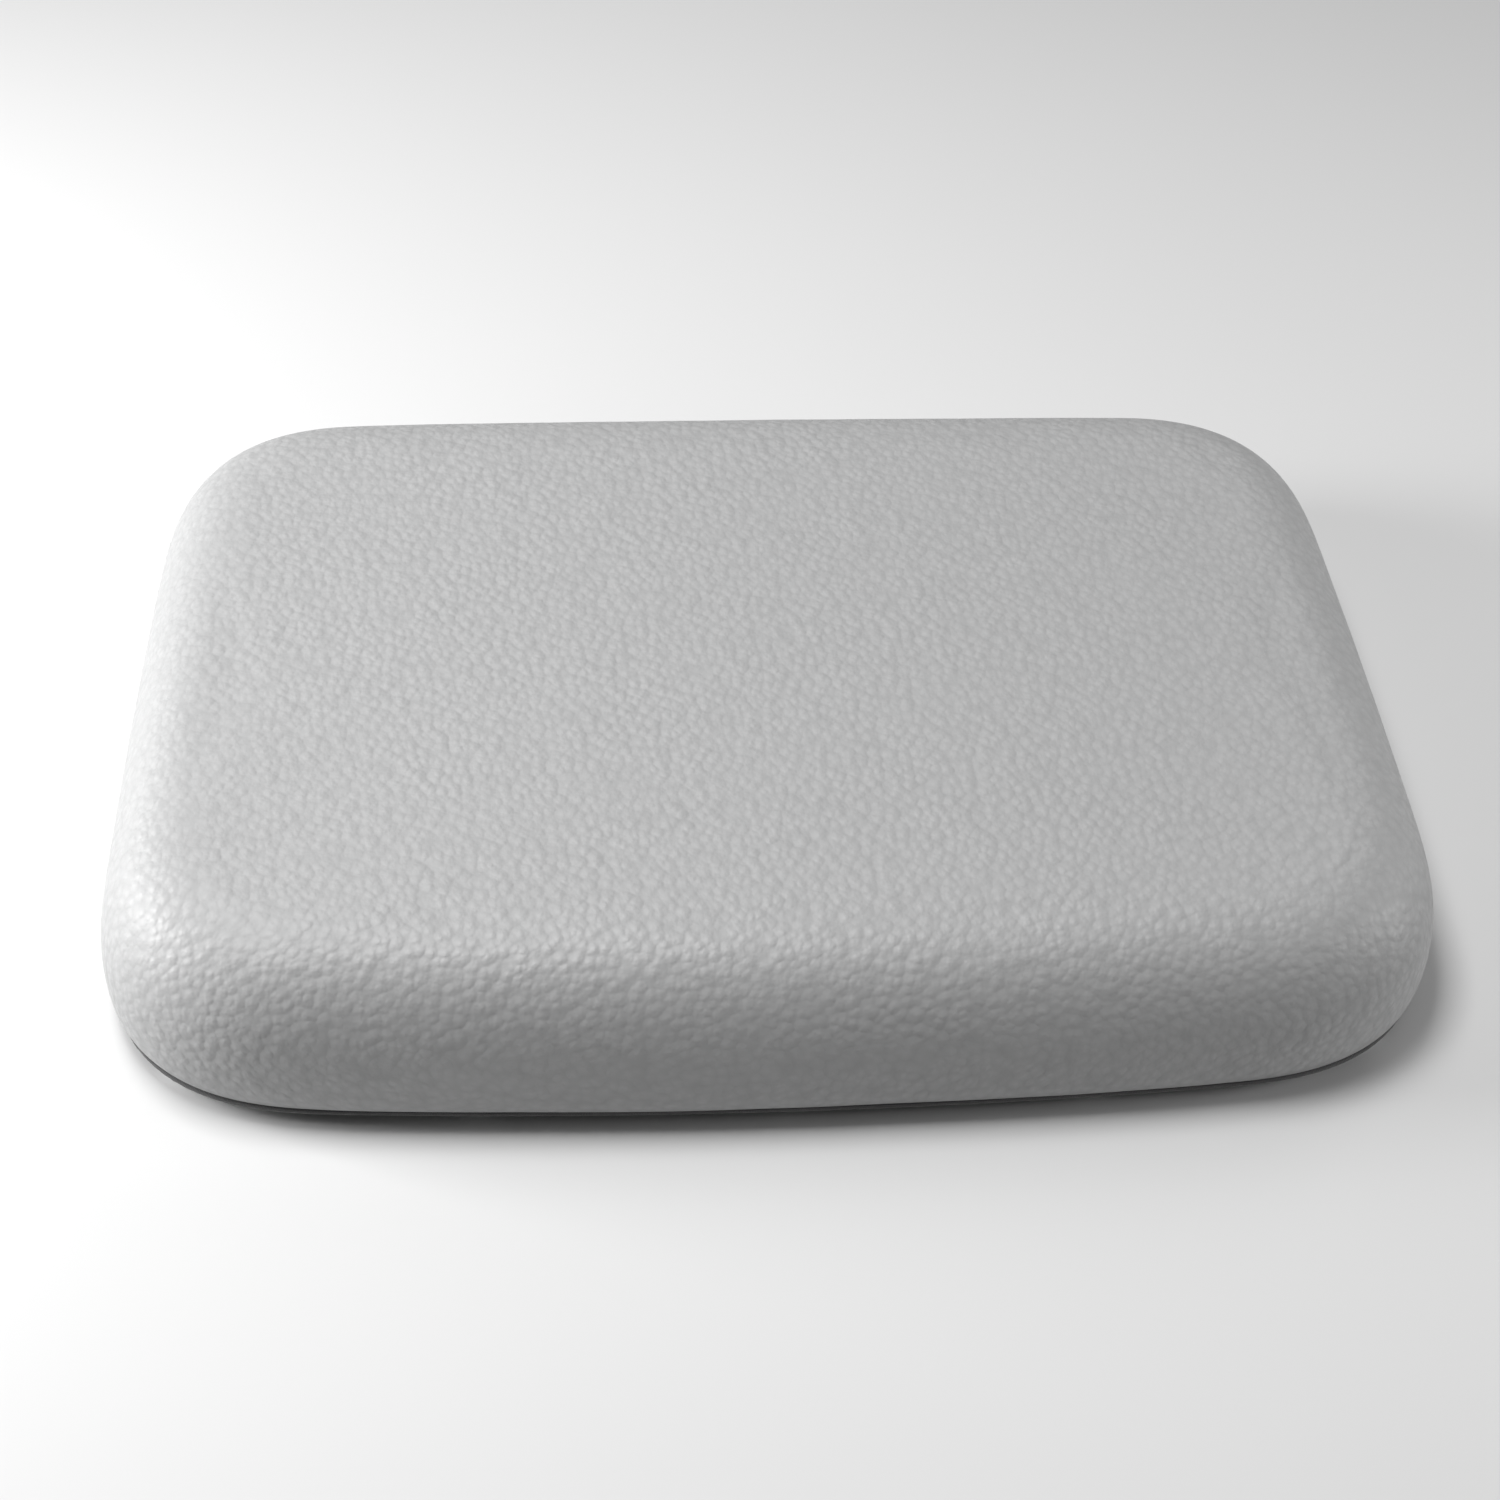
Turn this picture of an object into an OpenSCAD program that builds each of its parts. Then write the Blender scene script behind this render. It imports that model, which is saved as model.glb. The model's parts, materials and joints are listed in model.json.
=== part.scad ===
// Kneeling pad: a soft foam block in a rolled, grained cover, sewn to a grip base with
// round feet. The cover opens along a zip in its back wall, so that it can be washed.
// The pad lies on z = 0 with its width along X, its back towards +Y and its top up.
// The zip slider runs along X. It is drawn at the closed end, with its pull tab lying flat.

/* [Pad] */
// Width, side to side
pad_w = 440; // [400:1:520]
// Depth, front to back
pad_d = 300; // [260:1:360]
// Height from the floor to the top of the cover
pad_h = 62; // [58:1:70]
// Radius of the corners seen from above
corner_r = 68; // [60:1:80]
// How far the rounded top edge reaches in from the side wall
roll_in = 36; // [30:1:44]
// Fullness of the rounded top edge: 2 is elliptical, more is squarer
roll_fullness = 2.2; // [2:0.1:2.8]
// Height of the widest line of the side wall
belly_z = 16; // [15:1:18]
// How far the lower edge tucks in under the side wall
tuck_in = 10; // [8:1:12]

/* [Cover and base] */
// Thickness of the cover material with its bonded backing
cover_t = 2; // [1.5:0.1:2.5]
// Thickness of the wadding under the cover
wadding_t = 4.8; // [3:0.2:6]
// Thickness of the base sheet
base_t = 2; // [1.5:0.1:3]
// Height of the seam between cover and base
seam_z = 6.2; // [6:0.1:7]
// Diameter of the bound cord that runs round the seam
binding_d = 2.6; // [2:0.1:3]

/* [Filling] */
// Height at which the firm lower foam ends and the soft upper foam begins
foam_split_z = 38; // [36:1:42]

/* [Feet] */
// Diameter of a foot
foot_d = 20; // [14:1:22]
// How far a foot stands below the base sheet
foot_h = 2.2; // [1.5:0.1:3]
// Feet from side to side
foot_columns = 5; // [3:2:7]
// Feet from front to back
foot_rows = 3; // [3:2:5]
// Distance from one foot to the next along the front and back edges
foot_pitch = 97; // [80:1:100]
// Distance from the pad's outline to the middle of the outer feet
foot_inset = 18; // [12:0.5:30]

/* [Zip] */
// Height of the middle of the zip
zip_z = 22; // [21:0.5:24]
// Length of the opening in the cover that the zip closes
window_l = 280; // [200:10:280]
// Height of that opening
window_h = 12; // [11:0.5:13]
// Length of the closed chain
chain_l = 246; // [170:2:246]
// Distance from one tooth to the next on the same tape
tooth_pitch = 3; // [2.5:0.5:4]
// Depth of the chain's middle behind the widest line of the back wall
chain_depth = 5.6; // [5.4:0.1:6]
// Width of each tape
tape_w = 12; // [11:0.5:12]

/* [Hidden] */

$fn = 48;

// Steps along the rounded top edge and along the tucked lower edge
roll_steps = 12;
tuck_steps = 6;
// Clear gap between pieces that lie against each other
lay_gap = 0.2;
// Running gap round the slider and its pull tab
run_gap = 0.3;
// Step to which outlines are rounded
outline_step = 0.05;
// Overlap that makes a cutter pass clean through
cut = 1;

base_z = foot_h;
wadding_in = cover_t + lay_gap;
// How far the wadding's lower edge stands above the base sheet
wadding_clear = 1;
wadding_foot_z = base_z + base_t + wadding_clear;
foam_in = wadding_in + wadding_t + lay_gap;
// How far the bound cord's middle lies behind the side wall
binding_set_back = 0.3;

// Foot outline
foot_steps = 6;
foot_bowl_w = 3;
foot_bowl_h = 1.2;
foot_rim_rise = 0.8;
foot_rim_z = foot_h + foot_rim_rise;
foot_span_x = foot_pitch * (foot_columns - 1) / 2;

// Zip, front to back: the tapes lie in the middle of the chain
chain_y = pad_d / 2 - chain_depth;
tape_t = 0.8;
tooth_t = 2.2;
tooth_w = 1.6;
chain_slit = 1;
tooth_l = 2.2;
// Share of a tooth's length that the tape reaches in from the tooth's middle
tape_grip = 0.4;
teeth_per_tape = floor(chain_l / tooth_pitch);
facing_h = 5;
patch_l = 20;
patch_t = 1;
stop_l = 2.6;
stop_gap = 1;
end_stop_l = 3.4;
end_stop_extra_t = 0.6;
channel_depth = 4;
channel_back_y = chain_y - channel_depth;
channel_l = window_l + 2 * patch_l;
channel_roof_t = 2;

// Slider: two plates joined by a thin blade between the rows of teeth
plate_t = 1;
slider_l = 12;
slider_nose_w = 9;
slider_tail_w = 6.6;
blade_t = 0.4;
blade_l = 6;
slider_front_y = chain_y + tooth_t / 2 + run_gap + plate_t;
slider_back_y = chain_y - tooth_t / 2 - run_gap - plate_t;
slider_end_gap = 1;
slider_x = chain_l / 2 - slider_l / 2 - slider_end_gap;

// Pull tab: a cross pin under the slider's arch, two arms and a long plate
pin_r = 0.7;
arch_bar = 0.8;
arch_l = 5.6;
arch_w = 2.4;
pin_y = slider_front_y + run_gap + pin_r;
arch_top_y = pin_y + pin_r + run_gap + arch_bar;
tab_t = 1.2;
tab_l = 19;
tab_w = 6.4;
tab_arm_w = 1.2;
tab_neck = 1.2;
tab_hole_w = 2.2;
tab_hole_l = 6;

// ---------- shapes shared by several pieces ----------

// A length rounded to the step that outlines are drawn to, so that straight and round
// stretches of one outline meet exactly
function to_step(v) = round(v / outline_step) * outline_step;

// Lowest and highest level of the form that lies t inside the cover's outer face
function form_floor(t) = base_z + min(t, base_t + lay_gap);
function form_top(t) = pad_h - t;

// Distance from the cover's widest outline in to that form's side wall at height z:
// an ellipse quarter below the widest line, a fuller superellipse quarter above it
function tuck_share(t, z) = (belly_z - z) / (belly_z - form_floor(t));
function roll_share(t, z) = (z - belly_z) / (form_top(t) - belly_z);
function side_inset(t, z) = t + (z < belly_z
    ? (tuck_in - t) * (1 - sqrt(max(0, 1 - pow(tuck_share(t, z), 2))))
    : (roll_in - t) * (1 - pow(max(0, 1 - pow(roll_share(t, z), roll_fullness)), 1 / roll_fullness)));

// Heights at which the side wall of that form turns by equal steps
function wall_heights(t) = concat(
    [for (i = [tuck_steps : -1 : 1]) belly_z - (belly_z - form_floor(t)) * sin(90 * i / tuck_steps)],
    [for (i = [0 : roll_steps])
        belly_z + (form_top(t) - belly_z) * pow(sin(90 * i / roll_steps), 2 / roll_fullness)]
);

// Half section of that form between two heights, as [radius, height] from an axis that
// stands reach inside the pad's outline
function half_section(t, reach, z0, z1) =
    let (
        between = [for (z = wall_heights(t)) if (z > z0 + lay_gap && z < z1 - lay_gap) z],
        heights = concat([z0], between, [z1])
    )
    [for (p = concat([[0, z0]], [for (z = heights) [reach - side_inset(t, z), z]], [[0, z1]]))
        [to_step(p[0]), to_step(p[1])]];

module full_section(t, reach, z0, z1) {
    polygon(half_section(t, reach, z0, z1));
    mirror([1, 0]) polygon(half_section(t, reach, z0, z1));
}

// The pad's form, moved in by t on all sides, between two heights
module pad_form(t, z0, z1) {
    rotate([90, 0, 90])
        linear_extrude(pad_w - 2 * corner_r, center = true) full_section(t, pad_d / 2, z0, z1);
    rotate([90, 0, 0])
        linear_extrude(pad_d - 2 * corner_r, center = true) full_section(t, pad_w / 2, z0, z1);
    for (sx = [-1, 1], sy = [-1, 1])
        translate([sx * (pad_w / 2 - corner_r), sy * (pad_d / 2 - corner_r), 0])
            rotate_extrude() polygon(half_section(t, corner_r, z0, z1));
}

// The whole form that lies t inside the cover's outer face
module whole_form(t) pad_form(t, form_floor(t), form_top(t));

// A bar centred on x = 0, from y0 to y1 and z0 to z1
module bar(l, y0, y1, z0, z1)
    translate([-l / 2, y0, z0]) cube([l, y1 - y0, z1 - z0]);

// The opening in the back wall, with round ends
module zip_window(l, h)
    translate([0, pad_d / 2, zip_z])
        rotate([90, 0, 0])
            linear_extrude(2 * (pad_d / 2 - channel_back_y), center = true) {
                square([l - h, h], center = true);
                for (s = [-1, 1]) translate([s * (l - h) / 2, 0]) circle(d = h);
            }

// Room kept free in the filling behind the zip
module zip_channel()
    bar(channel_l, channel_back_y, pad_d, -cut, foam_split_z - channel_roof_t);

// ---------- cover, filling and base ----------

module cover_shell() color("silver")
    difference() {
        pad_form(0, seam_z + binding_d / 2, pad_h);
        whole_form(cover_t);
        zip_window(window_l, window_h);
    }

module wadding_layer() color("white")
    difference() {
        pad_form(wadding_in, wadding_foot_z, form_top(wadding_in));
        whole_form(wadding_in + wadding_t);
        zip_channel();
    }

module comfort_foam() color("lightyellow")
    pad_form(foam_in, foam_split_z + lay_gap, form_top(foam_in));

module support_foam() color("lightsteelblue")
    difference() {
        pad_form(foam_in, form_floor(foam_in), foam_split_z);
        zip_channel();
    }

module base_sheet() color("dimgray")
    difference() {
        pad_form(0, base_z, seam_z - binding_d / 2);
        whole_form(base_t);
    }

// One closed ring of round cord laid in the groove between cover and base
module edge_binding() color("dimgray") {
    ring_in = to_step(side_inset(0, seam_z) + binding_set_back);
    straight_x = pad_w - 2 * corner_r;
    straight_y = pad_d - 2 * corner_r;
    translate([0, 0, seam_z]) {
        for (s = [-1, 1]) {
            translate([0, s * (pad_d / 2 - ring_in), 0])
                rotate([0, 90, 0]) cylinder(d = binding_d, h = straight_x, center = true);
            translate([s * (pad_w / 2 - ring_in), 0, 0])
                rotate([90, 0, 0]) cylinder(d = binding_d, h = straight_y, center = true);
        }
        for (q = [0 : 3])
            rotate(90 * q)
                translate([(q % 2 == 0 ? straight_x : straight_y) / 2,
                           (q % 2 == 0 ? straight_y : straight_x) / 2, 0])
                    rotate_extrude(angle = 90) translate([corner_r - ring_in, 0]) circle(d = binding_d);
    }
}

// Half outline of a foot: a shallow bowl below, a straight rim above
function foot_bowl(i) = [foot_d / 2 - foot_bowl_w * (1 - sin(90 * i / foot_steps)),
                         foot_bowl_h * (1 - cos(90 * i / foot_steps))];

module foot()
    rotate_extrude()
        polygon(concat([[0, 0]], [for (i = [0 : foot_steps]) foot_bowl(i)],
                       [[foot_d / 2, foot_rim_z], [0, foot_rim_z]]));

// Middle of one foot: a grid whose four corner feet follow the rounded corners
function foot_place(sx, sy) =
    abs(sx) == 1 && abs(sy) == 1
    ? [for (side = [[sx, pad_w], [sy, pad_d]])
        side[0] * (side[1] / 2 - corner_r + (corner_r - foot_inset) * sin(45))]
    : [sx * (abs(sx) == 1 ? pad_w / 2 - foot_inset : foot_span_x), sy * (pad_d / 2 - foot_inset)];

module grip_feet() color("gainsboro")
    difference() {
        for (c = [0 : foot_columns - 1], r = [0 : foot_rows - 1])
            translate(foot_place(2 * c / (foot_columns - 1) - 1, 2 * r / (foot_rows - 1) - 1)) foot();
        pad_form(0, base_z, seam_z);
    }

// ---------- zip: the parts that stay on the cover ----------

// A strip sewn behind one long edge of the opening
module zip_facing(z0, z1)
    intersection() {
        whole_form(cover_t + lay_gap);
        bar(window_l, chain_y + tape_t / 2 + lay_gap, pad_d / 2, z0, z1);
    }

module zip_facing_upper() color("gray")
    zip_facing(zip_z + window_h / 2, zip_z + window_h / 2 + facing_h);

module zip_facing_lower() color("gray")
    zip_facing(zip_z - window_h / 2 - facing_h, zip_z - window_h / 2);

module zip_tape(side)
    translate([0, chain_y, zip_z + side * (chain_slit / 2 + tooth_l * tape_grip + tape_w / 2)])
        cube([window_l + patch_l, tape_t, tape_w], center = true);

module zip_tape_upper() color("dimgray") zip_tape(1);

module zip_tape_lower() color("dimgray") zip_tape(-1);

// Separate teeth, each notched to grip the edge of its tape
module zip_teeth(side)
    for (i = [0 : teeth_per_tape - 1])
        translate([(i + 0.5 - teeth_per_tape / 2) * tooth_pitch + side * tooth_pitch / 4, chain_y,
                   zip_z + side * (chain_slit / 2 + tooth_l / 2)])
            difference() {
                cube([tooth_w, tooth_t, tooth_l], center = true);
                translate([0, 0, side * tooth_l * tape_grip])
                    cube([2 * tooth_w, tape_t, tooth_l], center = true);
            }

module zip_teeth_upper() color("black") zip_teeth(1);

module zip_teeth_lower() color("black") zip_teeth(-1);

module tape_clip(x, l, side)
    translate([x, chain_y, zip_z + side * (chain_slit / 2 + tooth_l / 2)])
        difference() {
            cube([l, tooth_t, tooth_l], center = true);
            translate([0, 0, side * tooth_l * tape_grip]) cube([2 * l, tape_t, tooth_l], center = true);
        }

module zip_top_stops() color("silver")
    for (side = [-1, 1]) tape_clip(chain_l / 2 + stop_gap + stop_l / 2, stop_l, side);

module zip_bottom_stop() color("silver")
    difference() {
        translate([-chain_l / 2 - stop_gap - end_stop_l / 2, chain_y, zip_z])
            cube([end_stop_l, tooth_t + end_stop_extra_t, chain_slit + 2 * tooth_l], center = true);
        for (side = [-1, 1])
            translate([-chain_l / 2, chain_y, zip_z + side * (chain_slit / 2 + tooth_l * (0.5 + tape_grip))])
                cube([4 * end_stop_l, tape_t, tooth_l], center = true);
    }

module zip_end_patch(side)
    translate([side * window_l / 2, chain_y + tape_t / 2 + lay_gap + patch_t / 2, zip_z])
        cube([patch_l, patch_t, window_h - 2 * lay_gap], center = true);

module zip_end_patch_left() color("gray") zip_end_patch(-1);

module zip_end_patch_right() color("gray") zip_end_patch(1);

// ---------- zip: the parts that move ----------

module plate_outline()
    polygon([[-slider_l / 2, -slider_tail_w / 2], [-slider_l / 2, slider_tail_w / 2],
             [0, slider_nose_w / 2], [slider_l / 2, slider_nose_w / 2],
             [slider_l / 2, -slider_nose_w / 2], [0, -slider_nose_w / 2]]);

// A plate in the x-z plane between two depths
module slider_plate(y0, y1)
    translate([0, y1, 0]) rotate([90, 0, 0]) linear_extrude(y1 - y0) plate_outline();

module slider_arch()
    difference() {
        translate([0, (slider_front_y + arch_top_y) / 2, 0])
            cube([arch_l, arch_top_y - slider_front_y, arch_w], center = true);
        translate([0, pin_y, 0])
            cube([arch_l - 2 * arch_bar, 2 * (pin_r + run_gap), 2 * arch_w], center = true);
    }

module zip_slider() color("silver")
    translate([slider_x, 0, zip_z]) {
        slider_plate(slider_front_y - plate_t, slider_front_y);
        slider_plate(slider_back_y, slider_back_y + plate_t);
        translate([0, (slider_front_y + slider_back_y) / 2, 0])
            cube([blade_l, slider_front_y - slider_back_y, blade_t], center = true);
        slider_arch();
    }

module zip_pull_tab() color("silver")
    translate([slider_x, pin_y, zip_z]) {
        arm_z = arch_w / 2 + run_gap + tab_arm_w / 2;
        arm_l = arch_l / 2 + run_gap + tab_neck;
        cylinder(r = pin_r, h = 2 * arm_z, center = true);
        for (s = [-1, 1])
            translate([-arm_l / 2, 0, s * arm_z])
                cube([arm_l + 2 * pin_r, tab_t, tab_arm_w], center = true);
        translate([-arm_l, 0, 0]) rotate([90, 0, 0])
            linear_extrude(tab_t, center = true)
                difference() {
                    union() {
                        translate([tab_w / 2 - tab_l + arm_l, -tab_w / 2])
                            square([tab_l - arm_l - tab_w / 2, tab_w]);
                        translate([tab_w / 2 - tab_l + arm_l, 0]) circle(d = tab_w);
                    }
                    translate([tab_w / 2 - tab_l + arm_l, -tab_hole_w / 2]) square([tab_hole_l, tab_hole_w]);
                }
    }

cover_shell();
wadding_layer();
comfort_foam();
support_foam();
base_sheet();
edge_binding();
grip_feet();
zip_facing_upper();
zip_facing_lower();
zip_tape_upper();
zip_tape_lower();
zip_teeth_upper();
zip_teeth_lower();
zip_top_stops();
zip_bottom_stop();
zip_end_patch_left();
zip_end_patch_right();
zip_slider();
zip_pull_tab();
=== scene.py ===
"""Looks of the kneeling pad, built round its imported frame. Lengths are in metres.

The pad lies on z = 0: width along X, front edge towards -Y, back edge with the zip towards +Y.
"""
import json
import math

import bpy
import bmesh
from mathutils import Matrix, Vector, noise


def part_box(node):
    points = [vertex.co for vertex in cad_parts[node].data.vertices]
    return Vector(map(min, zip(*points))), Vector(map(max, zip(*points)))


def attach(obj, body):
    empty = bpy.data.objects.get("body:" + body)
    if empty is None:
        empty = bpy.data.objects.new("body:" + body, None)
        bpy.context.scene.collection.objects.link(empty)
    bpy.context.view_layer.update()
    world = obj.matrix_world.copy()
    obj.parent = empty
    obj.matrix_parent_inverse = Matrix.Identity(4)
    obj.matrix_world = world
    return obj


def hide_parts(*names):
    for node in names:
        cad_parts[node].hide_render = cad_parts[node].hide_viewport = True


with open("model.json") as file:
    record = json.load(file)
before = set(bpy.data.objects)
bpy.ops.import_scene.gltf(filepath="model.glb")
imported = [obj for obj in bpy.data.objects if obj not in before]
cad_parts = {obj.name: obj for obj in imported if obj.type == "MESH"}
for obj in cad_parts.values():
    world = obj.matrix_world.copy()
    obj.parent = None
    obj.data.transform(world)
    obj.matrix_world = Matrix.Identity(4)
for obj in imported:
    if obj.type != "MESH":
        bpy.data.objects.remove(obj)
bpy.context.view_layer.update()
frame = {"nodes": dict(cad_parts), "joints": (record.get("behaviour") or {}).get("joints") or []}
MM = 0.001

# ---------- sizes taken from the frame ----------

cover_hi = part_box("cover_shell")[1]
cord_lo, cord_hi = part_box("edge_binding")
HALF_W = cover_hi.x
HALF_D = cover_hi.y
TOP_Z = cover_hi.z
BASE_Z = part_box("base_sheet")[0].z
SEAM_Z = (cord_lo.z + cord_hi.z) / 2
CORD_R = (cord_hi.z - cord_lo.z) / 2
HEIGHT = TOP_Z - BASE_Z
BELLY_Z = BASE_Z + 0.23 * HEIGHT
CORNER_R = 0.1775 * 2 * HALF_W
CORNER_FULLNESS = 2.73
ROLL_IN = 0.575 * HEIGHT
ROLL_FULLNESS = 2.2
TUCK_IN = 0.167 * HEIGHT
COVER_T = 1.5 * MM
BASE_T = 1.8 * MM
BOW_FRONT = 10.0 * MM
BOW_BACK = 2.6 * MM
BOW_SIDE = 2.4 * MM
TINY = 1e-6

patch_lo, patch_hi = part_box("zip_end_patch_right")
tape_lo, tape_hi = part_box("zip_tape_upper")
ZIP_Z = (patch_lo.z + patch_hi.z) / 2
ZIP_Y = (tape_lo.y + tape_hi.y) / 2
WINDOW_HALF_L = (patch_lo.x + patch_hi.x) / 2
WINDOW_H = patch_hi.z - patch_lo.z + 0.4 * MM


# ---------- mesh helpers ----------

def linked(name, mesh, smooth=True):
    """Puts a mesh into the scene as an object."""
    obj = bpy.data.objects.new(name, mesh)
    bpy.context.scene.collection.objects.link(obj)
    if smooth:
        mesh.shade_smooth()
    return obj


def make_object(name, verts, faces, smooth=True):
    mesh = bpy.data.meshes.new(name)
    mesh.from_pydata([tuple(v) for v in verts], [], faces)
    mesh.validate()
    mesh.update()
    return linked(name, mesh, smooth)


def from_bmesh(name, bm):
    mesh = bpy.data.meshes.new(name)
    bm.to_mesh(mesh)
    bm.free()
    return linked(name, mesh)


def apply_modifiers(obj):
    bpy.context.view_layer.update()
    graph = bpy.context.evaluated_depsgraph_get()
    mesh = bpy.data.meshes.new_from_object(obj.evaluated_get(graph))
    old = obj.data
    obj.modifiers.clear()
    obj.data = mesh
    mesh.name = obj.name
    bpy.data.meshes.remove(old)
    return obj


def modifier(obj, kind, **settings):
    m = obj.modifiers.new(kind.lower(), kind)
    for key, value in settings.items():
        setattr(m, key, value)
    return m


def cut_away(obj, cutter):
    modifier(obj, "BOOLEAN", operation="DIFFERENCE", object=cutter, solver="MANIFOLD")
    apply_modifiers(obj)
    bpy.data.objects.remove(cutter)
    return obj


def band_faces(count, sides, closed=True):
    """Faces between count rings of sides vertices, with a cap on each end unless the band is closed."""
    faces = []
    for i in range(count if closed else count - 1):
        j = (i + 1) % count
        for k in range(sides):
            m = (k + 1) % sides
            faces.append((i * sides + k, i * sides + m, j * sides + m, j * sides + k))
    if not closed:
        faces.append(tuple(range(sides))[::-1])
        faces.append(tuple((count - 1) * sides + k for k in range(sides)))
    return faces


def join_rings(bm, rings):
    """Faces between rings of bmesh vertices, closed by a face at each end."""
    for a, b in zip(rings, rings[1:]):
        for k in range(len(a)):
            m = (k + 1) % len(a)
            bm.faces.new((a[k], a[m], b[m], b[k]))
    bm.faces.new(rings[0][::-1])
    bm.faces.new(rings[-1])


def fix_normals(obj):
    bm = bmesh.new()
    bm.from_mesh(obj.data)
    bmesh.ops.recalc_face_normals(bm, faces=bm.faces)
    bm.to_mesh(obj.data)
    bm.free()
    return obj


def push_out(obj, amount):
    """Moves each vertex along its normal by amount(place)."""
    normals = [v.normal.copy() for v in obj.data.vertices]
    for v, normal in zip(obj.data.vertices, normals):
        v.co += normal * amount(v.co)
    return obj


def flat_where_sharp(obj, angle=35):
    """Smooth shading that breaks at edges sharper than angle."""
    bm = bmesh.new()
    bm.from_mesh(obj.data)
    limit = math.radians(angle)
    for e in bm.edges:
        e.smooth = len(e.link_faces) == 2 and e.calc_face_angle(0) < limit
    for f in bm.faces:
        f.smooth = True
    bm.to_mesh(obj.data)
    bm.free()
    return obj


def finish_piece(obj, body, slot, material, *nodes):
    obj.data.materials.clear()
    obj.data.materials.append(material)
    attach(obj, body)
    if nodes:
        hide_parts(*nodes)
    return obj


# ---------- the pad's form ----------

STRAIGHT_X_CELLS = 58
STRAIGHT_Y_CELLS = 34
HALF_CORNER_CELLS = 11


def columns():
    """Places round the outline: (corner, angle, None) on a corner, (corner, next corner, share) between two.
    They start in the middle of the front left corner and run to the right along the front."""
    corners = [(-1, -1), (1, -1), (1, 1), (-1, 1)]
    out = []
    for k, middle in enumerate((270, 0, 90, 180)):
        first, last = corners[k], corners[(k + 1) % 4]
        cells = (STRAIGHT_X_CELLS, STRAIGHT_Y_CELLS)[k % 2]
        for i in range(HALF_CORNER_CELLS):
            out.append((first, math.radians(middle - 45 + 45 * i / HALF_CORNER_CELLS), None))
        for i in range(cells):
            out.append((first, last, i / cells))
        for i in range(HALF_CORNER_CELLS):
            out.append((last, math.radians(middle + 45 * i / HALF_CORNER_CELLS), None))
    return out


COLUMNS = columns()
X_CELLS = STRAIGHT_X_CELLS + 2 * HALF_CORNER_CELLS
Y_CELLS = STRAIGHT_Y_CELLS + 2 * HALF_CORNER_CELLS


def power_sign(v, power):
    return math.copysign(abs(v) ** power, v) if abs(v) > 1e-9 else 0.0


def outline_point(column, inset):
    """The (x, y) of a column on the outline that lies inset inside the widest one."""
    radius = 0.5 * ((CORNER_R - inset) + math.sqrt((CORNER_R - inset) ** 2 + (13 * MM) ** 2))
    hx, hy = HALF_W - inset, HALF_D - inset
    cx, cy = hx - radius, hy - radius
    first, second, share = column
    if share is None:
        x = first[0] * cx + radius * power_sign(math.cos(second), 2 / CORNER_FULLNESS)
        y = first[1] * cy + radius * power_sign(math.sin(second), 2 / CORNER_FULLNESS)
    else:
        out = ((first[0] + second[0]) / 2, (first[1] + second[1]) / 2)
        ax, bx = (sign * cx + out[0] * radius for sign in (first[0], second[0]))
        ay, by = (sign * cy + out[1] * radius for sign in (first[1], second[1]))
        x, y = ax + (bx - ax) * share, ay + (by - ay) * share
    return bowed(x, y)


def bowed(x, y):
    """The sides bow: their middles keep the full size and their ends pull in a little."""
    xn, yn = x / HALF_W, y / HALF_D
    bow_y = BOW_FRONT if y < 0 else BOW_BACK
    return x - BOW_SIDE * xn * yn * yn, y - bow_y * yn * xn * xn


def roll_profile(t, steps, top_z):
    """(inset, z) from the widest level up over the rounded edge, for the form t inside the cover."""
    out = []
    for i in range(steps + 1):
        a = math.pi / 2 * i / steps
        inset = t + (ROLL_IN - t) * (1 - max(0.0, math.cos(a)) ** (2 / ROLL_FULLNESS))
        out.append((inset, BELLY_Z + (top_z - BELLY_Z) * math.sin(a) ** (2 / ROLL_FULLNESS)))
    return out


def tuck_inset(t, z, floor_z):
    share = min(1.0, (BELLY_Z - z) / (BELLY_Z - floor_z))
    return t + (TUCK_IN - t) * (1 - math.sqrt(max(0.0, 1 - share * share)))


def tuck_profile(t, z_from, steps, floor_z):
    """(inset, z) from z_from up to the widest level, that level left out."""
    if z_from >= BELLY_Z:
        return []
    first = math.asin(min(1.0, (BELLY_Z - z_from) / (BELLY_Z - floor_z)))
    out = []
    for i in range(steps):
        z = BELLY_Z - (BELLY_Z - floor_z) * math.sin(first * (1 - i / steps))
        out.append((tuck_inset(t, z, floor_z), z))
    return out


def ring_points(profile):
    rings = []
    for inset, z in profile:
        rings.append([Vector((*outline_point(c, inset), z)) for c in COLUMNS])
    return rings


def patch_points(ring):
    """A grid of points spanned inside a ring (a Coons patch), as rows from the front to the back."""
    nx, ny = X_CELLS, Y_CELLS
    front = [ring[i] for i in range(nx + 1)]
    right = [ring[nx + j] for j in range(ny + 1)]
    back = [ring[(nx + ny + nx - i) % len(ring)] for i in range(nx + 1)]
    left = [ring[(2 * nx + ny + ny - j) % len(ring)] for j in range(ny + 1)]
    rows = []
    for j in range(ny + 1):
        v = j / ny
        row = []
        for i in range(nx + 1):
            u = i / nx
            p = (front[i] * (1 - v) + back[i] * v + left[j] * (1 - u) + right[j] * u
                 - (front[0] * (1 - u) * (1 - v) + front[nx] * u * (1 - v) + back[0] * (1 - u) * v
                    + back[nx] * u * v))
            row.append(p)
        rows.append(row)
    return rows


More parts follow.
